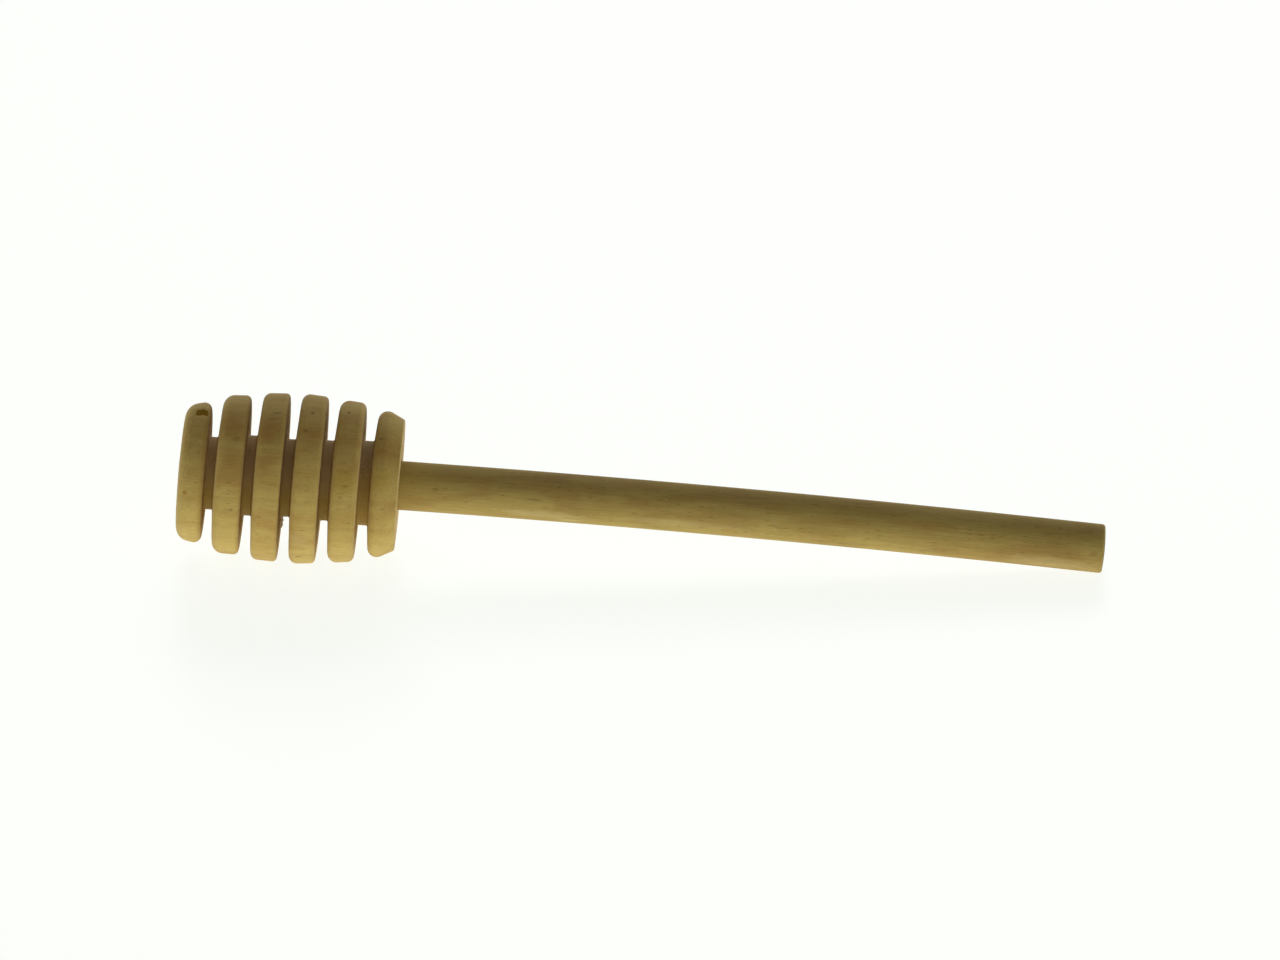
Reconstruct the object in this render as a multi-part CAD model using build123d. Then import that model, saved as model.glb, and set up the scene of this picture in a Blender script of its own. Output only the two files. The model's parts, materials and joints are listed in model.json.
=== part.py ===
from build123d import *
import os

# A turned wooden honey dipper, in millimetres: a grooved head with a dowel glued into its back.
# Both pieces are drawn about the X axis, with x = 0 at the back face of the head, the tip of the
# head towards -X and the handle towards +X. They are then leaned together until they lie on
# z = 0, on the head's widest disc and the end of the handle.

# Degrees from the y axis to the seam of the round faces, which keeps it off the line of rest
seam_turn = 6.75

# Head
head_length = 35.7
head_radius = 13.97
groove_mouth_width = 1.95
groove_floor_width = 1.4
groove_floor_rounding = 0.3
core_radius = 6.9

# Each disc, from the tip to the handle: the radius of its tip side and of its handle side, as
# shares of head_radius, and the rounding of those two edges, as shares of its thickness. The
# widest disc tapers as much as the dipper leans, so its rim lies flat on z = 0.
disc_shares = [
    (0.78, 0.83, 0.53, 0.27),
    (0.925, 0.93, 0.42, 0.19),
    (0.975, 0.985, 0.28, 0.14),
    (1.0, 0.9766, 0.33, 0.17),
    (0.96, 0.93, 0.36, 0.25),
    (0.863, 0.796, 0.42, 0.06),
]

# The radius of the core at each groove, from the tip to the handle, as a share of core_radius
core_shares = [0.86, 0.95, 0.92, 0.95, 1.0]

# Handle
handle_radius = 4.0
handle_length = 115.4
end_crown = 0.25
end_rounding = 0.5
tenon_length = 20.0
tenon_radius = 3.75
tenon_chamfer = 0.8
shoulder_length = 0.25

# Socket in the back of the head: the gap that the glue fills, and the mark that the drill's spur
# leaves in the socket's floor
glue_gap = 0.05
spur_radius = 1.2
spur_depth = 1.5


def head_outline():
    """Closed half outline of the head, above the X axis, with the socket left out of it."""
    disc_thickness = (head_length - groove_mouth_width * len(core_shares)) / len(disc_shares)
    disc_pitch = disc_thickness + groove_mouth_width
    groove_lean = groove_mouth_width - groove_floor_width

    points = [(-head_length, 0)]
    roundings = [0]
    for number, (tip_share, back_share, tip_edge_share, back_edge_share) in enumerate(disc_shares):
        tip_side = -head_length + disc_pitch * number
        back_side = tip_side + disc_thickness
        points += [(tip_side, head_radius * tip_share), (back_side, head_radius * back_share)]
        roundings += [disc_thickness * tip_edge_share, disc_thickness * back_edge_share]
        if number < len(core_shares):
            core = core_radius * core_shares[number]
            next_tip_side = back_side + groove_mouth_width
            points += [(back_side, core), (next_tip_side - groove_lean, core)]
            roundings += [groove_floor_rounding, groove_floor_rounding]

    socket_radius = tenon_radius + glue_gap
    socket_depth = tenon_length + glue_gap
    points += [
        (0, handle_radius + glue_gap),
        (-shoulder_length, socket_radius),
        (-socket_depth, socket_radius),
        (-socket_depth, spur_radius),
        (-socket_depth - spur_depth, 0),
    ]
    roundings += [0, 0, 0, 0, 0]
    return FilletPolyline(*points, radius=roundings, close=True)


def handle_outline():
    """Closed half outline of the handle, above the X axis, with a sloped shoulder between its
    tenon and its shaft, and a crowned end."""
    shaft_end = handle_length - end_crown
    crown_radius = (handle_radius**2 + end_crown**2) / (2 * end_crown)
    sides = Polyline(
        (handle_length, 0),
        (-tenon_length, 0),
        (-tenon_length, tenon_radius - tenon_chamfer),
        (-tenon_length + tenon_chamfer, tenon_radius),
        (-shoulder_length, tenon_radius),
        (0, handle_radius),
        (shaft_end, handle_radius),
    )
    crown = RadiusArc(sides @ 1, sides @ 0, crown_radius)
    outline = make_face(sides + crown)
    end_edge = outline.vertices().sort_by_distance(sides @ 1)[0]
    return fillet(end_edge, end_rounding).face().outer_wire()


def resting_lean(*outlines):
    """Degrees by which the handle's end dips when the outlines lie on one straight line."""
    edges = [edge for outline in outlines for edge in outline.edges()]
    sides = make_hull(edges).edges().filter_by(GeomType.LINE)
    clear_of_axis = [side for side in sides if min((side @ 0).Y, (side @ 1).Y) > end_rounding]
    support = ShapeList(clear_of_axis).sort_by(SortBy.LENGTH)[-1]
    along = support.tangent_at(0)
    return Vector(1, 0, 0).get_angle(along if along.X > 0 else -along)


outlines = {"head": head_outline(), "handle": handle_outline()}
turned = Rot(seam_turn, 0, 0)
solids = {name: turned * revolve(make_face(line), Axis.X, 360) for name, line in outlines.items()}

leaned = Rot(0, resting_lean(*outlines.values()), 0)
box = (leaned * Compound(list(solids.values()))).bounding_box()
resting = Pos(-box.center().X, 0, -box.min.Z) * leaned

os.makedirs("parts", exist_ok=True)
for name, solid in solids.items():
    placed = resting * solid
    placed.label = name
    export_step(placed, f"parts/{name}.step")

print("lean", resting.orientation.Y, "origin of the head's back face", resting.position)
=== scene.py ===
import json
import math
import random

import bmesh
import bpy
import numpy as np
from mathutils import Matrix, Vector


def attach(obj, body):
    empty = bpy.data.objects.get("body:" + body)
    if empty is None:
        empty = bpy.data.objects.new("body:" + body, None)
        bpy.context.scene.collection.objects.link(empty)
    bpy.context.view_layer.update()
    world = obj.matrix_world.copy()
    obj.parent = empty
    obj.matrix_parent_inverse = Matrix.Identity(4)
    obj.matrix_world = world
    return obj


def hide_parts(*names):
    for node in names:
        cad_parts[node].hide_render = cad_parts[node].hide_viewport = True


# A turned wooden honey dipper that lies on a glowing white table. Lengths are in millimetres in the
# dipper's own frame, where x = 0 is the back face of the head, +x runs along the handle, y is the
# row's own y, and z is up, square to the axis. They become metres when a piece is placed.

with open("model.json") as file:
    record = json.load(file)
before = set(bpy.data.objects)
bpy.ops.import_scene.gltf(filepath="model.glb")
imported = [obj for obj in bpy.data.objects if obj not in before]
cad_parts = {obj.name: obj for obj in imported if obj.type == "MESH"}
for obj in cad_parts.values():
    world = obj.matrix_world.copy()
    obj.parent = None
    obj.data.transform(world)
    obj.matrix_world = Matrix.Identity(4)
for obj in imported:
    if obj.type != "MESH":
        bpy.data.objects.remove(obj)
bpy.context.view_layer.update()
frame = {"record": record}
MM = 0.001

mounts = {mount["name"]: mount for mount in frame["record"]["mounts"]}
along = Vector(mounts["handle_shaft"]["axis"]).normalized()
above = Vector((0, 1, 0)).cross(along) * -1
tip = Vector(mounts["tip_face"]["pos_m"])
shoulder = Vector(mounts["head_shoulder"]["pos_m"])

# Head: its discs and grooves from the tip to the handle, as in the solid, but for small changes to
# the discs' rims and a stronger taper of the last one, which lie closer to the photograph
head_length = (shoulder - tip).dot(along) / MM
back_centre = tip + along * head_length * MM
handle_radius = mounts["handle_shaft"]["dims"]["r_mm"]
head_radius = 13.97
groove_mouth_width = 1.95
groove_floor_width = 1.4
groove_floor_rounding = 0.3
core_radius = 6.9

# Each disc: the radius of its tip side and of its back side, as shares of head_radius, and the
# rounding of those two edges, as shares of its thickness
disc_shares = [
    (0.78, 0.841, 0.53, 0.27),
    (0.925, 0.936, 0.42, 0.19),
    (0.975, 0.988, 0.28, 0.14),
    (1.0, 0.9766, 0.3, 0.17),
    (0.96, 0.93, 0.36, 0.25),
    (0.916, 0.768, 0.35, 0.07),
]
widest_disc = 3

# The radius of the core in each groove, as a share of core_radius
core_shares = [0.86, 0.95, 0.92, 0.95, 1.0]
disc_thickness = (head_length - groove_mouth_width * len(core_shares)) / len(disc_shares)
disc_pitch = disc_thickness + groove_mouth_width

# How far the back side of each disc, and the tip side of the next one, stand from the solid's
side_shifts = [(-0.15, -0.1), (-0.15, 0.0), (-0.15, 0.0), (-0.15, 0.0), (-0.15, 0.2), (0.0, 0.0)]

# Handle and its hidden joint, as in the solids
handle_length = 115.4
end_crown = 0.25
end_rounding = 0.5
tenon_length = 20.0
tenon_radius = 3.75
tenon_chamfer = 0.8
shoulder_length = 0.25
glue_gap = 0.05
spur_radius = 1.2
spur_depth = 1.5

# What the turned and sanded wood has that the solids leave out: the bow of the dowel, the dome of
# the tip face, wear, ripples and faults of roundness in the rims, and uneven sides of the discs
bow = 0.85
tip_crown = 0.31
worn_off = 0.008
out_of_round = 0.03
tool_ripple = 0.006
wavy_sides = 0.03
fuzzy_sides = 0.012
handle_out_of_round = 0.005
handle_ripple = 0.002

# The share by which the meshes are drawn in along the axis, to stay inside the solids' box
drawn_in = 0.0006

# Fineness of the meshes: edges along the outlines, edges round a piece, and more of them about the
# chip, in the angle that they reach to either side
rim_spacing, wall_spacing, handle_spacing = 0.2, 0.55, 0.7
head_sides, handle_sides = 256, 120
chip_sides, chip_reach = 20, math.radians(4)
sharp_from = math.radians(38)

# Light: how bright the white surround is to the wood, and how much the wood and the table shine
wood_fill = 0.175
wood_gloss = 0.1
table_gloss = 0.15

# The fine relief of the wood: the share of it that shows, and its depth in metres
relief_share, relief_depth = 0.55, 0.00006

# Photograph: its size, where the centre of the head's back face is in it, and the camera that sees
# the dipper as it does
image_width, image_height = 1280, 960
back_centre_px = (399.2, 487.4)
focal_px = 12000
camera_distance = 1.955
camera_elevation = math.radians(30)
camera_yaw = math.radians(2.96)
camera_roll = math.radians(0.245)
sensor_width = 36
camera_reach = 20


def rounded(points, roundings, arc_steps=7):
    """The outline through points, each corner replaced by an arc of its rounding."""
    outline = []
    for number, (point, rounding) in enumerate(zip(points, roundings)):
        here = np.array(point, float)
        if rounding == 0:
            outline.append(here)
            continue
        before = np.array(points[number - 1], float) - here
        after = np.array(points[number + 1], float) - here
        before /= np.linalg.norm(before)
        after /= np.linalg.norm(after)
        half = math.acos(np.clip(before @ after, -1, 1)) / 2
        middle = (before + after) / np.linalg.norm(before + after)
        centre = here + middle * rounding / math.sin(half)
        reach = rounding / math.tan(half)
        start, end = here + before * reach - centre, here + after * reach - centre
        turn = math.atan2(start[0] * end[1] - start[1] * end[0], start @ end)
        for step in range(arc_steps + 1):
            angle = turn * step / arc_steps
            cosine, sine = math.cos(angle), math.sin(angle)
            spoke = (start[0] * cosine - start[1] * sine, start[0] * sine + start[1] * cosine)
            outline.append(centre + np.array(spoke))
    return outline


def divided(outline, spacing):
    """The outline with its long runs divided, spacing(radius) apart at most."""
    fine = [outline[0]]
    for here, there in zip(outline, outline[1:]):
        length = np.linalg.norm(there - here)
        pieces = max(1, math.ceil(length / spacing(min(here[1], there[1]))))
        fine += [here + (there - here) * step / pieces for step in range(1, pieces + 1)]
    return np.array(fine)


def head_outline():
    """Half outline of the head from the tip's centre round to the bottom of its socket."""
    points, roundings = [(-head_length, 0)], [0]
    tip_side = -head_length
    for number, (tip_share, back_share, tip_edge_share, back_edge_share) in enumerate(disc_shares):
        back_shift, next_shift = side_shifts[number]
        back_side = -head_length + disc_pitch * number + disc_thickness + back_shift
        points += [(tip_side, head_radius * tip_share), (back_side, head_radius * back_share)]
        roundings += [disc_thickness * tip_edge_share, disc_thickness * back_edge_share]
        if number < len(core_shares):
            core = core_radius * core_shares[number]
            tip_side = -head_length + disc_pitch * (number + 1) + next_shift
            floor_end = tip_side - groove_mouth_width + groove_floor_width
            points += [(back_side, core), (floor_end, core)]
            roundings += [groove_floor_rounding, groove_floor_rounding]
    socket_radius = tenon_radius + glue_gap
    socket_depth = tenon_length + glue_gap
    points += [
        (0, handle_radius + glue_gap),
        (-shoulder_length, socket_radius),
        (-socket_depth, socket_radius),
        (-socket_depth, spur_radius),
        (-socket_depth - spur_depth, 0),
    ]
    roundings += [0, 0, 0, 0, 0]
    rim_from = core_radius * 1.4
    return divided(
        rounded(points, roundings),
        lambda radius: rim_spacing if radius > rim_from else wall_spacing,
    )


def handle_outline():
    """Half outline of the handle, from the end of its tenon to the middle of its free end."""
    shaft_end = handle_length - end_crown
    crown_steps = 8
    points = [
        (-tenon_length, 0),
        (-tenon_length, tenon_radius - tenon_chamfer),
        (-tenon_length + tenon_chamfer, tenon_radius),
        (-shoulder_length, tenon_radius),
        (0, handle_radius),
        (shaft_end, handle_radius),
    ]
    roundings = [0, 0, 0, 0, 0, end_rounding]
    for step in range(1, crown_steps + 1):
        share = 1 - step / crown_steps
        points.append((shaft_end + end_crown * (1 - share**2), handle_radius * share))
        roundings.append(0)
    return divided(rounded(points, roundings), lambda radius: handle_spacing)


def waves(angle, x, seed, turns, lengths):
    """A smooth seeded ripple between -1 and 1, round and along a piece."""
    dice = random.Random(seed)
    total = np.zeros(np.broadcast(angle, x).shape)
    for count, length in zip(turns, lengths):
        around, forward = dice.uniform(0, math.tau), dice.uniform(0, math.tau)
        total += np.sin(count * angle + around + np.sin(math.tau * x / length + forward))
    return total / len(turns)


def lathe(outline, angles, shape):
    """A closed mesh turned about the x axis. shape(x, radius, angle) gives each point its final x
    and radius, with angle 0 at the top and a quarter turn towards -y. The points and faces come
    with each point's place before that, and with how squarely it faces along x."""
    inner = outline[1:-1]
    x = np.repeat(inner[:, 0], len(angles))
    radius = np.repeat(inner[:, 1], len(angles))
    angle = np.tile(angles, len(inner))
    slope = np.gradient(outline, axis=0)[1:-1]
    facing = np.abs(slope[:, 1]) / np.maximum(np.linalg.norm(slope, axis=1), 1e-9)
    ends = outline[[0, -1]]
    x, radius = np.append(x, ends[:, 0]), np.append(radius, ends[:, 1])
    angle = np.append(angle, [0, 0])
    facing = np.append(np.repeat(facing, len(angles)), [1, 1])
    own = np.column_stack((x, -radius * np.sin(angle), radius * np.cos(angle)))
    new_x, new_radius = shape(x, radius, angle)
    made = np.column_stack((new_x, -new_radius * np.sin(angle), new_radius * np.cos(angle)))

    around = len(angles)
    first, last = len(inner) * around, len(inner) * around + 1
    faces = []
    for side in range(around):
        other = (side + 1) % around
        faces.append((first, other, side))
        faces.append((last, first - around + side, first - around + other))
    for ring in range(len(inner) - 1):
        low, high = ring * around, (ring + 1) * around
        for side in range(around):
            other = (side + 1) % around
            faces.append((low + side, low + other, high + other, high + side))
    return made, faces, own, facing


def bowed(x):
    """How far the bow lifts the axis at x, between the two places that touch the table."""
    front = -head_length + disc_pitch * widest_disc
    return bow * 4 * (x - front) * (handle_length - x) / (handle_length - front) ** 2


def placed(points):
    """Points in the dipper's own frame, bowed and drawn in, as row-frame metres."""
    across = Vector((0, 1, 0))
    to_row = np.array([along, across, above]).T
    lifted = points + np.outer(bowed(points[:, 0]), (0, 0, 1))
    lifted[:, 0] -= drawn_in * (points[:, 0] - (handle_length - head_length) / 2)
    return lifted @ to_row.T * MM + np.array(back_centre)


def on_round(x, degrees, radius):
    """The point at x and at a radius, some degrees from the top towards the front."""
    turn = math.radians(degrees)
    return x, -radius * math.sin(turn), radius * math.cos(turn)


def add_splinters(made, faces, own, facing):
    """The head's mesh with the torn fibres added, as thin closed spikes with their feet in it."""
    # Each spike: its sides, where its buried end and its rings lie in shares of its reach, and the
    # girths of the rings in shares of its width
    sides = 5
    base_share, rings = -0.4, ((-0.3, 1.0), (0.35, 0.8), (0.75, 0.5))

    # How far and how soon it bends, and a direction that none of the spikes has
    bend_share, bend_turn, off_line = 0.7, 2.2, (0.3, 0.5, 0.8)
    extra_made, extra_faces = [], []
    for x, degrees, radius, reach, width in torn_fibres:
        foot, reach = np.array(on_round(x, degrees, radius)), np.array(reach)
        first = np.cross(reach, off_line)
        first /= np.linalg.norm(first)
        second = np.cross(reach, first)
        second /= np.linalg.norm(second)
        start = len(made) + len(extra_made)
        for share, girth in rings:
            bend = first * width * bend_share * math.sin(bend_turn * share)
            for side in range(sides):
                spoke = math.tau * side / sides
                ring = first * math.cos(spoke) + second * math.sin(spoke)
                extra_made.append(foot + reach * share + bend + ring * width * girth / 2)
        extra_made += [foot + reach, foot + reach * base_share]
        top = start + len(rings) * sides
        base, last_ring = top + 1, top - sides
        for side in range(sides):
            other = (side + 1) % sides
            extra_faces.append((base, start + other, start + side))
            extra_faces.append((top, last_ring + side, last_ring + other))
            for low in range(start, last_ring, sides):
                high = low + sides
                extra_faces.append((low + side, low + other, high + other, high + side))
    extra = np.array(extra_made)
    return (
        np.vstack((made, extra)),
        faces + extra_faces,
        np.vstack((own, extra)),
        np.append(facing, np.zeros(len(extra))),
    )


def make_piece(name, made, faces, own, facing, node, slot, material):
    """The mesh object that stands for a node, with each point's place in the wood and how far
    end grain shows there."""
    mesh = bpy.data.meshes.new(name)
    mesh.from_pydata(placed(made).tolist(), [], faces)
    mesh.attributes.new("wood", "FLOAT_VECTOR", "POINT").data.foreach_set("vector", own.ravel())
    mesh.attributes.new("end_grain", "FLOAT", "POINT").data.foreach_set("value", facing)
    shell = bmesh.new()
    shell.from_mesh(mesh)
    bmesh.ops.recalc_face_normals(shell, faces=shell.faces)
    shell.to_mesh(mesh)
    shell.free()
    mesh.shade_smooth()
    mesh.set_sharp_from_angle(angle=sharp_from)
    piece = bpy.data.objects.new(name, mesh)
    bpy.context.scene.collection.objects.link(piece)
    mesh.materials.append(material)
    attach(piece, "root")
    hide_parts(node)


# Small dents, each (x, degrees from the top towards the front, half length along the grain, half
# width, depth). The first is the dark chip in the first disc.
dents = [
    (-32.83, 0.1, 1.06, 1.02, 0.2),
    (-31.5, 64.0, 0.35, 0.5, 0.16),
    (-25.2, 118.0, 0.3, 0.6, 0.14),
    (-23.0, 41.0, 0.5, 0.22, 0.1),
    (-18.9, 96.0, 0.3, 0.45, 0.15),
    (-12.6, 79.0, 0.3, 0.4, 0.12),
    (-8.4, 52.0, 0.4, 0.25, 0.1),
    (-6.5, 131.0, 0.3, 0.55, 0.14),
    (-4.2, 88.0, 0.28, 0.4, 0.12),
    (-29.4, 215.0, 0.4, 0.3, 0.12),
    (-16.7, 262.0, 0.3, 0.6, 0.15),
    (-2.2, 300.0, 0.5, 0.25, 0.1),
]
chip = dents[0]

# Small stains of the head and long flames of the handle, each as stained() takes it; a few of
# them are painted light and shade, as noted where they stand
dark_stain_and_painted_shade = (0.10, 0.045, 0.012, 1)
brown_stain = (0.24, 0.12, 0.03, 1)
red_stain = (0.36, 0.155, 0.035, 1)
cream_stain_and_painted_light = (0.66, 0.53, 0.24, 1)
amber_stain = (0.42, 0.25, 0.02, 1)
head_marks = [
    (-14.8, 8.4, 13.9, 0.38, 0.32, dark_stain_and_painted_shade, 0.65),
    (-15.6, 25.2, 13.9, 0.4, 0.35, dark_stain_and_painted_shade, 0.4),
    (-15.3, 126.4, 13.9, 0.65, 0.45, dark_stain_and_painted_shade, 0.42),
    (-9.0, 1.8, 13.2, 0.28, 0.3, dark_stain_and_painted_shade, 0.75),
    (-10.9, 12.1, 13.2, 0.35, 0.3, dark_stain_and_painted_shade, 0.5),
    (-20.6, 10.5, 13.7, 0.9, 0.25, dark_stain_and_painted_shade, 0.5),
    (-20.9, 16.5, 13.7, 1.1, 0.22, dark_stain_and_painted_shade, 0.35),
    (-21.6, 27.0, 13.7, 2.0, 3.2, red_stain, 0.45),
    (-26.6, 33.0, 12.9, 0.8, 0.5, red_stain, 0.5),
    (-27.2, 51.0, 12.9, 1.2, 1.2, red_stain, 0.25),
    (-27.4, 20.0, 12.9, 1.9, 3.0, red_stain, 0.25),
    (-34.4, 77.4, 11.1, 0.5, 0.45, red_stain, 0.7),
    (-26.6, 86.0, 12.9, 0.4, 0.3, dark_stain_and_painted_shade, 0.5),
    (-8.4, 63.0, 13.2, 0.7, 0.25, brown_stain, 0.6),
    (-9.2, 71.0, 13.2, 0.5, 0.22, brown_stain, 0.6),
    (-3.2, 21.5, 11.8, 0.7, 0.22, dark_stain_and_painted_shade, 0.5),
    (-2.9, 26.0, 11.8, 0.6, 0.2, dark_stain_and_painted_shade, 0.25),
    (-2.0, 80.0, 11.8, 0.6, 0.25, brown_stain, 0.5),
    (-14.8, 33.0, 13.9, 2.0, 3.4, red_stain, 0.25),
    (-21.2, 52.0, 13.7, 1.6, 2.2, red_stain, 0.2),
    (-9.0, 40.0, 13.2, 1.7, 2.4, red_stain, 0.22),
    (-8.6, 8.0, 13.2, 1.8, 1.8, red_stain, 0.2),
    (-33.4, 62.0, 11.2, 1.4, 1.2, red_stain, 0.22),
    (-2.6, 32.0, 11.8, 1.9, 2.4, red_stain, 0.3),
    # Painted shade over the top of the last groove's floor
    (-5.3, 4.0, 6.9, 1.6, 5.0, dark_stain_and_painted_shade, 0.3),
    (-5.3, 64.0, 6.9, 1.6, 3.4, amber_stain, 0.5),
    (-8.6, 60.0, 13.2, 2.0, 2.8, amber_stain, 0.4),
    (-2.6, 57.0, 11.8, 1.9, 2.4, amber_stain, 0.32),
    # Painted light on the widest disc's underside, near where it touches the table
    (-15.2, 106.0, 13.9, 1.7, 1.5, cream_stain_and_painted_light, 0.22),
]
handle_marks = [
    (23.5, 108.0, 4.0, 7.5, 0.9, cream_stain_and_painted_light, 0.35),
    (28.0, 124.0, 4.0, 2.2, 0.35, cream_stain_and_painted_light, 0.5),
    (46.0, 100.0, 4.0, 11.0, 0.7, cream_stain_and_painted_light, 0.22),
    (39.0, 14.0, 4.0, 4.5, 1.2, red_stain, 0.3),
    (70.4, 62.0, 4.0, 6.0, 1.0, red_stain, 0.22),
    (86.0, 50.0, 4.0, 6.0, 1.1, red_stain, 0.28),
    (10.0, 30.0, 4.0, 7.0, 1.0, red_stain, 0.2),
    (6.0, 62.0, 4.0, 0.8, 0.15, dark_stain_and_painted_shade, 0.6),
    (22.0, 70.0, 4.0, 1.4, 0.15, dark_stain_and_painted_shade, 0.4),
    (61.0, 84.0, 4.0, 1.1, 0.14, dark_stain_and_painted_shade, 0.4),
    (107.5, 88.0, 4.0, 1.0, 0.2, brown_stain, 0.5),
    (113.6, 74.0, 4.0, 0.7, 0.5, brown_stain, 0.35),
    # Painted light on the underside near the free end, near where it touches the table
    (107.0, 114.0, 4.0, 8.0, 1.5, cream_stain_and_painted_light, 0.3),
]

# Torn fibres in the grooves, each (x, degrees, radius, reach, width) of a thin bent splinter
torn_fibres = [
    (-18.95, 150.0, 7.0, (0.6, 0.0, 0.03), 0.15),
    (-19.03, 211.5, 13.0, (0.32, 0.05, -0.08), 0.5),
    (-19.03, 209.5, 13.0, (0.24, -0.05, -0.1), 0.5),
    (-19.03, 207.5, 13.0, (0.32, 0.06, -0.05), 0.45),
    (-19.03, 205.5, 13.0, (0.24, -0.04, -0.08), 0.5),
    (-19.03, 203.5, 13.0, (0.28, 0.06, -0.05), 0.45),
    (-19.03, 201.5, 13.0, (0.19, -0.04, -0.08), 0.5),
    (-12.5, 148.0, 6.1, (0.3, -0.2, -0.6), 0.22),
    (-31.3, 152.0, 5.7, (-0.3, -0.2, -0.6), 0.12),
    (-24.8, 20.0, 6.4, (0.3, -0.3, 0.5), 0.12),
    (-6.2, 95.0, 6.7, (0.2, -0.6, 0.1), 0.1),
    (-18.6, 250.0, 6.2, (0.4, 0.8, -0.1), 0.14),
]


def head_shape(x, radius, angle):
    """The turned head, a little out of round and worn, with its dents and its domed tip."""
    rim_start, rim_fade = 1.05, 0.35
    end_margin, tip_margin = 0.1, 0.01
    rim = np.clip((radius / core_radius - rim_start) / rim_fade, 0, 1)
    uneven = waves(angle, x, 11, (2, 3, 5, 7), (9.0, 13.0, 6.5, 5.2))
    rough = waves(angle, x, 12, (23, 41, 67, 83), (1.9, 1.3, 0.9, 0.7))
    wear = worn_off + out_of_round * (1 + uneven) / 2 + tool_ripple * (1 + rough)
    new_radius = radius - rim * wear
    for place, degrees, half_length, half_width, depth in dents:
        side = (angle - math.radians(degrees) + math.pi) % math.tau - math.pi
        far = ((x - place) / half_length) ** 4 + (side * radius / half_width) ** 4
        new_radius = new_radius - rim * depth * np.exp(-far)

    tip_flat = head_radius * disc_shares[0][0] - disc_thickness * disc_shares[0][2]
    on_tip = x < -head_length + tip_margin
    crown = tip_crown * np.clip(1 - (radius / tip_flat) ** 2, 0, 1) * on_tip
    thick = waves(angle, x, 13, (1, 2, 3), (31.0, 17.0, 12.0)) * wavy_sides
    fuzzy = waves(angle, radius, 14, (31, 53, 71), (3.1, 2.3, 1.7)) * fuzzy_sides
    inside_ends = (x < -end_margin) * (x > -head_length + end_margin)
    new_x = x - crown + rim * (thick + fuzzy) * inside_ends
    return new_x, new_radius


def handle_shape(x, radius, angle):
    """The dowel, a little out of round outside its socket."""
    clear_of_socket = 3
    shown = np.clip(x / clear_of_socket, 0, 1)
    uneven = waves(angle, x, 21, (2, 3, 2), (61.0, 37.0, 23.0))
    rough = waves(angle, x, 22, (9, 14, 22), (11.0, 7.0, 4.5))
    wear = handle_out_of_round * (1 + uneven) + handle_ripple * (1 + rough)
    return x, radius - shown * (radius / handle_radius) * wear


def ring_angles(count, close_to, close_count, close_half):
    """Angles round a piece, with more of them about one place."""
    even = [math.tau * step / count for step in range(count)]
    steps = range(close_count + 1)
    close = [close_to + close_half * (2 * step / close_count - 1) for step in steps]
    return np.array(sorted(set(round(angle % math.tau, 6) for angle in even + close)))


# Shader building blocks


def node(tree, kind, settings=None, inputs=None):
    """A new shader node. inputs maps a socket's name or number to a value or another's output."""
    made = tree.nodes.new("ShaderNode" + kind)
    for name, value in (settings or {}).items():
        setattr(made, name, value)
    for socket, value in (inputs or {}).items():
        if isinstance(value, bpy.types.NodeSocket):
            tree.links.new(value, made.inputs[socket])
        else:
            made.inputs[socket].default_value = value
    return made


def calc(tree, operation, *values):
    """The result of a math node."""
    return node(tree, "Math", {"operation": operation}, dict(enumerate(values))).outputs[0]


def scaled(tree, vector, scale):
    """The vector with each part multiplied by that of scale."""
    return node(tree, "VectorMath", {"operation": "MULTIPLY"}, {0: vector, 1: scale}).outputs[0]


def moved(tree, vector, by):
    return node(tree, "VectorMath", {"operation": "ADD"}, {0: vector, 1: by}).outputs[0]


def away_from(tree, vector, centre):
    return node(tree, "VectorMath", {"operation": "SUBTRACT"}, {0: vector, 1: centre}).outputs[0]


def length_of(tree, vector):
    return node(tree, "VectorMath", {"operation": "LENGTH"}, {0: vector}).outputs["Value"]


def stepped(tree, value, low, high, to_low=0.0, to_high=1.0):
    """What goes smoothly from to_low, where value is low, to to_high, where value is high."""
    inputs = {"Value": value, "From Min": low, "From Max": high}
    inputs |= {"To Min": to_low, "To Max": to_high}
    return node(tree, "MapRange", {"interpolation_type": "SMOOTHSTEP"}, inputs).outputs[0]


def centred(tree, noise, reach):
    """A noise from 0 to 1, spread over a reach about zero."""
    return calc(tree, "MULTIPLY_ADD", noise, reach, -reach / 2)


def mixed(tree, factor, first, second, blend="MIX"):
    settings = {"data_type": "RGBA", "blend_type": blend}
    return node(tree, "Mix", settings, {0: factor, 6: first, 7: second}).outputs[2]


def laid(tree, colour, tone, where, strength):
    """The colour with a tone laid over it, as strongly as where says."""
    return mixed(tree, calc(tree, "MULTIPLY", where, strength), colour, tone)


def cloudy(tree, vector, detail=2.0, distortion=0.0):
    inputs = {"Vector": vector, "Scale": 1.0, "Detail": detail, "Distortion": distortion}
    return node(tree, "TexNoise", {}, inputs).outputs[0]


def speckled(tree, vector, low, high, share):
    """Soft spots, one in each cell of a stretched pattern, kept in a share of the cells."""
    fade = 0.15
    cells = node(tree, "TexVoronoi", {}, {"Vector": vector, "Scale": 1.0, "Randomness": 1.0})
    spot = stepped(tree, cells.outputs["Distance"], low, high, 1.0, 0.0)
    chosen = node(tree, "SeparateColor", {}, {0: cells.outputs["Color"]}).outputs[0]
    return calc(tree, "MULTIPLY", spot, stepped(tree, chosen, 1 - share, 1 - share + fade))


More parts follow.
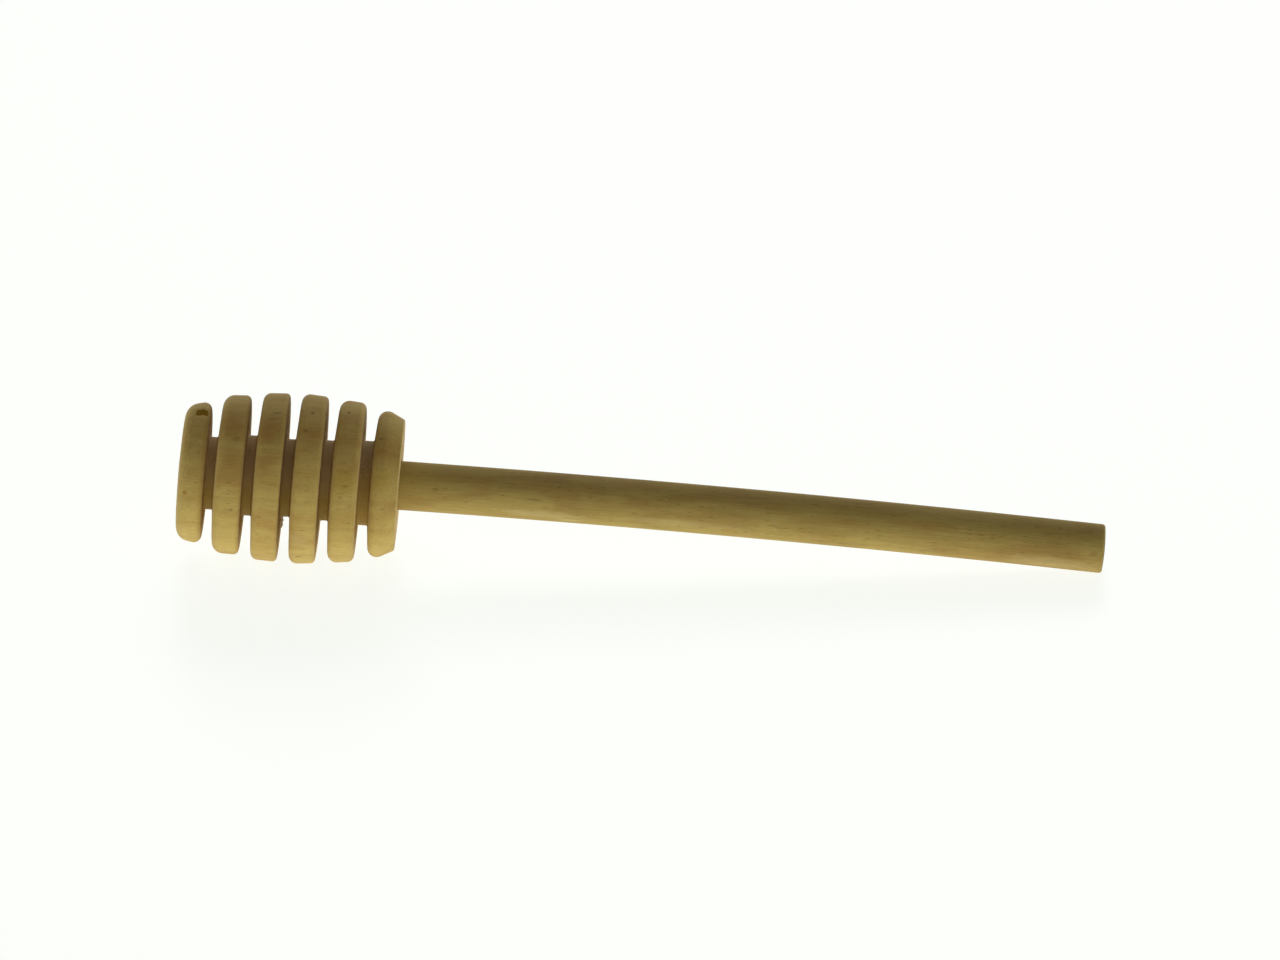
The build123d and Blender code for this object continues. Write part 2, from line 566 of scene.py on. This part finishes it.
def stained(tree, place, colour, ragged, marks):
    """The colour with soft ragged stains, some of them painted light and shade, each (x, degrees
    from the top towards the front, radius, half length along the grain, half width, stain,
    strength)."""
    raggedness, full, gone = 1.6, 0.3, 1.3
    for x, degrees, radius, half_length, half_width, stain, strength in marks:
        offset = away_from(tree, place, on_round(x, degrees, radius))
        flat = scaled(tree, offset, (1 / half_length, 1 / half_width, 1 / half_width))
        far = calc(tree, "MULTIPLY_ADD", ragged, raggedness, length_of(tree, flat))
        colour = mixed(tree, stepped(tree, far, full, gone, strength, 0.0), colour, stain)
    return colour


# How fine the patterns of the wood are along x, y and z, in turns per millimetre
drift_scale = (0.035, 0.15, 0.15)
patch_scale = (0.05, 0.16, 0.16)
redder_scale = (0.06, 0.17, 0.17)
fibre_scale = (0.16, 5.0, 5.0)
fine_fibre_scale = (0.5, 14.0, 14.0)
fleck_scale = (0.55, 3.6, 3.6)
long_fleck_scale = (0.22, 2.1, 2.1)
bright_fleck_scale = (0.5, 3.0, 3.0)
pore_scale = (0.3, 6.5, 6.5)
torn_scale = (1.4, 3.4, 3.4)
ragged_scale = (0.4, 3.0, 3.0)
scratch_scale = (0.06, 9.0, 9.0)
turning_scale = 7.0
ray_scale, ray_length_scale = 190.0, 0.35

# How far the edges of the stains and the chip wander, and the growth rings in millimetres
ragged_reach = 0.9
drift_reach = 2.4


def wood(name, pale, brown, red, late, fleck, bright, end, pith, pith_slope, ring_width, seed):
    """Plain turned beech: growth rings about a pith outside the piece, long soft patches, fibres,
    short ray flecks along the grain, and end grain where the rings are cut across."""
    material = bpy.data.materials.new(name)
    material.use_nodes = True
    tree = material.node_tree
    shader = tree.nodes["Principled BSDF"]
    place = node(tree, "Attribute", {"attribute_name": "wood"}).outputs["Vector"]
    end_grain = node(tree, "Attribute", {"attribute_name": "end_grain"}).outputs["Fac"]
    seeded = moved(tree, place, (seed, 2 * seed, 3 * seed))

    # Growth rings, whose late wood darkens towards the end of each
    drift = centred(tree, cloudy(tree, scaled(tree, seeded, drift_scale)), drift_reach)
    split = node(tree, "SeparateXYZ", {}, {0: place}).outputs
    across = calc(tree, "MULTIPLY_ADD", split[0], pith_slope[0], split[1])
    across = calc(tree, "ADD", calc(tree, "SUBTRACT", across, pith[0]), drift)
    upright = calc(tree, "MULTIPLY_ADD", split[0], pith_slope[1], split[2])
    upright = calc(tree, "SUBTRACT", upright, pith[1])
    squared = calc(tree, "MULTIPLY_ADD", across, across, calc(tree, "MULTIPLY", upright, upright))
    from_pith = calc(tree, "SQRT", squared)
    ring = calc(tree, "DIVIDE", from_pith, ring_width)
    in_ring = calc(tree, "FRACT", ring)
    falling = stepped(tree, in_ring, 0.9, 1.0, 1.0, 0.0)
    late_wood = calc(tree, "MULTIPLY", stepped(tree, in_ring, 0.35, 0.93), falling)
    ring_number = {"W": calc(tree, "FLOOR", ring)}
    ring_tone = node(tree, "TexWhiteNoise", {"noise_dimensions": "1D"}, ring_number).outputs[0]
    ring_share = calc(tree, "MULTIPLY", late_wood, stepped(tree, ring_tone, 0.0, 1.0, 0.04, 0.28))

    # Patches, fibres and flecks
    patches = stepped(tree, cloudy(tree, scaled(tree, seeded, patch_scale), 3.0, 0.6), 0.42, 0.66)
    redder = stepped(tree, cloudy(tree, scaled(tree, place, redder_scale), 3.0, 0.8), 0.5, 0.68)
    fibres = cloudy(tree, scaled(tree, seeded, fibre_scale), 4.0)
    fine_fibres = cloudy(tree, scaled(tree, seeded, fine_fibre_scale), 2.0)
    flecks = speckled(tree, scaled(tree, seeded, fleck_scale), 0.12, 0.34, 0.42)
    long_flecks = speckled(tree, scaled(tree, seeded, long_fleck_scale), 0.1, 0.24, 0.2)
    shifted = moved(tree, seeded, (5.3, 2.1, 9.7))
    bright_flecks = speckled(tree, scaled(tree, shifted, bright_fleck_scale), 0.08, 0.26, 0.3)

    colour = laid(tree, pale, brown, patches, 0.55)
    colour = laid(tree, colour, red, redder, 0.5)
    colour = mixed(tree, ring_share, colour, late)
    shade = stepped(tree, fibres, 0.25, 0.75, 0.88, 1.06)
    shade = calc(tree, "MULTIPLY", shade, stepped(tree, fine_fibres, 0.25, 0.75, 0.95, 1.04))
    grey = node(tree, "CombineColor", {}, {0: shade, 1: shade, 2: shade}).outputs[0]
    colour = mixed(tree, 1.0, colour, grey, "MULTIPLY")
    colour = laid(tree, colour, fleck, flecks, 0.55)
    colour = laid(tree, colour, fleck, long_flecks, 0.5)
    colour = laid(tree, colour, bright, bright_flecks, 0.4)

    # End grain: rings drawn as lines, rays that run out from the pith, and pores
    bearing = calc(tree, "MULTIPLY", calc(tree, "ARCTAN2", upright, across), ray_scale)
    outward = calc(tree, "MULTIPLY", from_pith, ray_length_scale)
    ray_place = node(tree, "CombineXYZ", {}, {0: bearing, 1: outward}).outputs[0]
    rays = stepped(tree, cloudy(tree, ray_place), 0.5, 0.68)
    pores = speckled(tree, scaled(tree, seeded, pore_scale), 0.14, 0.34, 0.55)
    ring_line = calc(tree, "MULTIPLY", stepped(tree, in_ring, 0.62, 0.94), falling)
    cut = laid(tree, end, late, ring_line, 0.3)
    cut = laid(tree, cut, pale, rays, 0.3)
    cut = laid(tree, cut, fleck, pores, 0.35)
    cut_share = stepped(tree, end_grain, 0.75, 1.0)
    colour = mixed(tree, cut_share, colour, cut)

    relief = calc(tree, "MULTIPLY_ADD", fine_fibres, 0.5, calc(tree, "MULTIPLY", fibres, 0.6))
    relief = calc(tree, "SUBTRACT", relief, calc(tree, "MULTIPLY", flecks, 0.35))
    return material, tree, shader, place, colour, relief, cut_share


def finish_wood(tree, shader, colour, relief, cut_share, sanded_roughness, cut_roughness):
    """Sets the wood's colour, its sanded and its cut roughness, its faint gloss and its relief."""
    tree.links.new(colour, shader.inputs["Base Color"])
    roughness = stepped(tree, cut_share, 0.0, 1.0, sanded_roughness, cut_roughness)
    tree.links.new(roughness, shader.inputs["Roughness"])
    shader.inputs["Specular IOR Level"].default_value = wood_gloss
    depths = {"Height": relief, "Strength": relief_share, "Distance": relief_depth}
    bump = node(tree, "Bump", {}, depths)
    tree.links.new(bump.outputs[0], shader.inputs["Normal"])


def with_groove_floors_and_painted_light(tree, place, colour):
    """The colour with paler and duller floors in the grooves, where the sanding doesn't reach; the
    paleness is partly painted light, and painted shade darkens and yellows them lower down.
    """
    lit_floor, shaded_floor = (0.75, 0.54, 0.28, 1), (0.55, 0.37, 0.085, 1)
    shaded_height, lit_height = -1.0, 5.5
    floor_radius, sanded_radius = core_radius * 1.03, core_radius * 1.3
    strength, clear_of_ends, fade = 0.75, 1, 1
    split = node(tree, "SeparateXYZ", {}, {0: place}).outputs
    radius = length_of(tree, scaled(tree, place, (0, 1, 1)))
    in_groove = stepped(tree, radius, floor_radius, sanded_radius, strength, 0.0)
    tip_clear, back_clear = clear_of_ends - head_length, -clear_of_ends
    off_tip = stepped(tree, split[0], tip_clear, tip_clear + fade)
    off_back = stepped(tree, split[0], back_clear - fade, back_clear, 1.0, 0.0)
    in_groove = calc(tree, "MULTIPLY", in_groove, off_tip)
    in_groove = calc(tree, "MULTIPLY", in_groove, off_back)
    # Painted light and shade: darker and yellower lower down, paler higher up
    floor_light_and_shade = mixed(tree, stepped(tree, split[2], shaded_height, lit_height), shaded_floor, lit_floor)
    return mixed(tree, in_groove, colour, floor_light_and_shade)


def with_chip(tree, place, colour):
    """The colour with the chip's dark torn wood, then where the chip is, and the noise that makes
    its edge ragged."""
    dark_torn, pale_torn = (0.15, 0.083, 0.006, 1), (0.37, 0.205, 0.02, 1)
    chip_radius, upright_scale = 11.25, 0.3
    raggedness, full, gone, strength = 1.7, 0.6, 1.15, 0.94
    chip_place, chip_degrees, half_length, half_width, _ = chip
    torn = cloudy(tree, scaled(tree, place, torn_scale), 3.0)
    ragged = centred(tree, torn, ragged_reach)
    offset = away_from(tree, place, on_round(chip_place, chip_degrees, chip_radius))
    flat = scaled(tree, offset, (1 / half_length, 1 / half_width, upright_scale))
    squared = scaled(tree, flat, flat)
    product = {"operation": "DOT_PRODUCT"}
    far = node(tree, "VectorMath", product, {0: squared, 1: squared}).outputs["Value"]
    far = calc(tree, "ADD", far, calc(tree, "MULTIPLY", ragged, raggedness))
    inside = stepped(tree, far, full, gone, 1.0, 0.0)
    torn_tone = mixed(tree, torn, dark_torn, pale_torn)
    return laid(tree, colour, torn_tone, inside, strength), inside, ragged


def head_wood():
    """The head's beech, with faint turning marks round the discs and the chip's dark torn wood."""
    material, tree, shader, place, colour, relief, cut_share = wood(
        "head_beech",
        pale=(0.585, 0.42, 0.12, 1),
        brown=(0.46, 0.28, 0.065, 1),
        red=(0.44, 0.235, 0.06, 1),
        late=(0.42, 0.25, 0.06, 1),
        fleck=(0.25, 0.125, 0.03, 1),
        bright=(0.72, 0.56, 0.22, 1),
        end=(0.60, 0.435, 0.175, 1),
        pith=(-31.0, -38.0),
        pith_slope=(0.03, -0.05),
        ring_width=2.3,
        seed=7.0,
    )
    # The groove floors get painted light, and painted shade lower down
    colour = with_groove_floors_and_painted_light(tree, place, colour)
    colour, in_chip, ragged = with_chip(tree, place, colour)
    colour = stained(tree, place, colour, ragged, head_marks)

    along_axis = node(tree, "SeparateXYZ", {}, {0: place}).outputs[0]
    lathe_lines = {"W": along_axis, "Scale": turning_scale, "Detail": 2.0}
    turning = node(tree, "TexNoise", {"noise_dimensions": "1D"}, lathe_lines).outputs[0]
    relief = calc(tree, "ADD", relief, calc(tree, "MULTIPLY", turning, 0.7))
    finish_wood(tree, shader, colour, relief, cut_share, sanded_roughness=0.6, cut_roughness=0.78)

    # The torn wood of the chip doesn't shine
    gloss = calc(tree, "MULTIPLY_ADD", in_chip, -wood_gloss, wood_gloss)
    tree.links.new(gloss, shader.inputs["Specular IOR Level"])
    return material


def handle_wood():
    """The dowel's beech, with rings that run out along it in long pale flames."""
    material, tree, shader, place, colour, relief, cut_share = wood(
        "handle_beech",
        pale=(0.47, 0.34, 0.095, 1),
        brown=(0.37, 0.24, 0.06, 1),
        red=(0.37, 0.215, 0.06, 1),
        late=(0.34, 0.215, 0.055, 1),
        fleck=(0.20, 0.105, 0.025, 1),
        bright=(0.60, 0.47, 0.19, 1),
        end=(0.26, 0.20, 0.09, 1),
        pith=(26.0, -21.0),
        pith_slope=(0.035, 0.02),
        ring_width=1.7,
        seed=23.0,
    )
    ragged = cloudy(tree, scaled(tree, place, ragged_scale), 3.0)
    ragged = centred(tree, ragged, ragged_reach)
    colour = stained(tree, place, colour, ragged, handle_marks)
    scratches = cloudy(tree, scaled(tree, place, scratch_scale), 3.0)
    relief = calc(tree, "ADD", relief, calc(tree, "MULTIPLY", scratches, 0.5))
    finish_wood(tree, shader, colour, relief, cut_share, sanded_roughness=0.62, cut_roughness=0.8)
    return material


# Pieces


def make_head():
    angles = ring_angles(head_sides, math.radians(chip[1]), chip_sides, chip_reach)
    turned = lathe(head_outline(), angles, head_shape)
    make_piece("dipper_head", *add_splinters(*turned), "head", "head_wood", head_wood())


def make_handle():
    angles = np.arange(handle_sides) * math.tau / handle_sides
    turned = lathe(handle_outline(), angles, handle_shape)
    make_piece("dipper_handle", *turned, "handle", "handle_wood", handle_wood())


# Table, light and camera


def seen_directly(tree):
    """1 for the camera and in reflections, 0 for the light that falls on the wood."""
    rays = node(tree, "LightPath").outputs
    reflected = calc(tree, "MAXIMUM", rays["Is Glossy Ray"], rays["Is Transmission Ray"])
    return calc(tree, "MAXIMUM", rays["Is Camera Ray"], reflected)


def table_white():
    """A glowing white sheet, which still shows shadows and a faint blurred reflection."""
    seen_glow, cast_glow = 0.895, 1.2
    material = bpy.data.materials.new("table_white")
    material.use_nodes = True
    tree = material.node_tree
    shader = tree.nodes["Principled BSDF"]
    glow = calc(tree, "MULTIPLY_ADD", seen_directly(tree), seen_glow - cast_glow, cast_glow)
    tree.links.new(glow, shader.inputs["Emission Strength"])
    shader.inputs["Emission Color"].default_value = (0.972, 1.0, 0.955, 1)
    shader.inputs["Base Color"].default_value = (0.15, 0.15, 0.15, 1)
    shader.inputs["Roughness"].default_value = 0.4
    shader.inputs["Specular IOR Level"].default_value = table_gloss
    return material


def make_table():
    half = 4.0
    corners = [(-half, -half, 0), (half, -half, 0), (half, half, 0), (-half, half, 0)]
    mesh = bpy.data.meshes.new("table")
    mesh.from_pydata(corners, [], [(0, 1, 2, 3)])
    mesh.materials.append(table_white())
    table = bpy.data.objects.new("table", mesh)
    bpy.context.scene.collection.objects.link(table)


def make_world():
    """A white surround for the camera and for gloss, dim to the wood itself."""
    world = bpy.data.worlds.new("studio")
    world.use_nodes = True
    tree = world.node_tree
    background = tree.nodes["Background"]
    strength = calc(tree, "MULTIPLY_ADD", seen_directly(tree), 1 - wood_fill, wood_fill)
    tree.links.new(strength, background.inputs["Strength"])
    background.inputs["Color"].default_value = (1, 1, 1, 1)
    bpy.context.scene.world = world


def make_lamp(name, place, aim, size, power):
    """A rectangular soft light at a place in metres, turned to its aim."""
    light = bpy.data.lights.new(name, "AREA")
    light.shape = "RECTANGLE"
    light.size, light.size_y = size
    light.energy = power
    lamp = bpy.data.objects.new(name, light)
    lamp.location = place
    lamp.rotation_euler = (Vector(aim) - Vector(place)).to_track_quat("-Z", "Y").to_euler()
    bpy.context.scene.collection.objects.link(lamp)


def make_camera():
    """A long lens that sees the centre of the head's back face where the photograph has it."""
    sight = Vector((
        -math.sin(camera_yaw) * math.cos(camera_elevation),
        math.cos(camera_yaw) * math.cos(camera_elevation),
        -math.sin(camera_elevation),
    ))
    level = Vector((math.cos(camera_yaw), math.sin(camera_yaw), 0))
    right = Matrix.Rotation(camera_roll, 3, sight) @ level
    up = right.cross(sight)
    from_middle_x = (back_centre_px[0] - image_width / 2) / focal_px
    from_middle_y = (image_height / 2 - back_centre_px[1]) / focal_px
    to_back = sight + right * from_middle_x + up * from_middle_y
    camera = bpy.data.cameras.new("camera")
    camera.sensor_width = sensor_width
    camera.lens = focal_px * sensor_width / image_width
    camera.clip_end = camera_reach
    seen_by = bpy.data.objects.new("camera", camera)
    stand = Matrix.Translation(back_centre - to_back * camera_distance)
    seen_by.matrix_world = stand @ Matrix((right, up, -sight)).transposed().to_4x4()
    bpy.context.scene.collection.objects.link(seen_by)
    bpy.context.scene.camera = seen_by


make_camera()
make_head()
make_handle()
make_table()
make_world()
make_lamp("back_softbox", place=(0.1, 0.95, 0.75), aim=(0, 0, 0), size=(0.9, 0.5), power=3.0)

bpy.context.scene.view_settings.view_transform = "Standard"
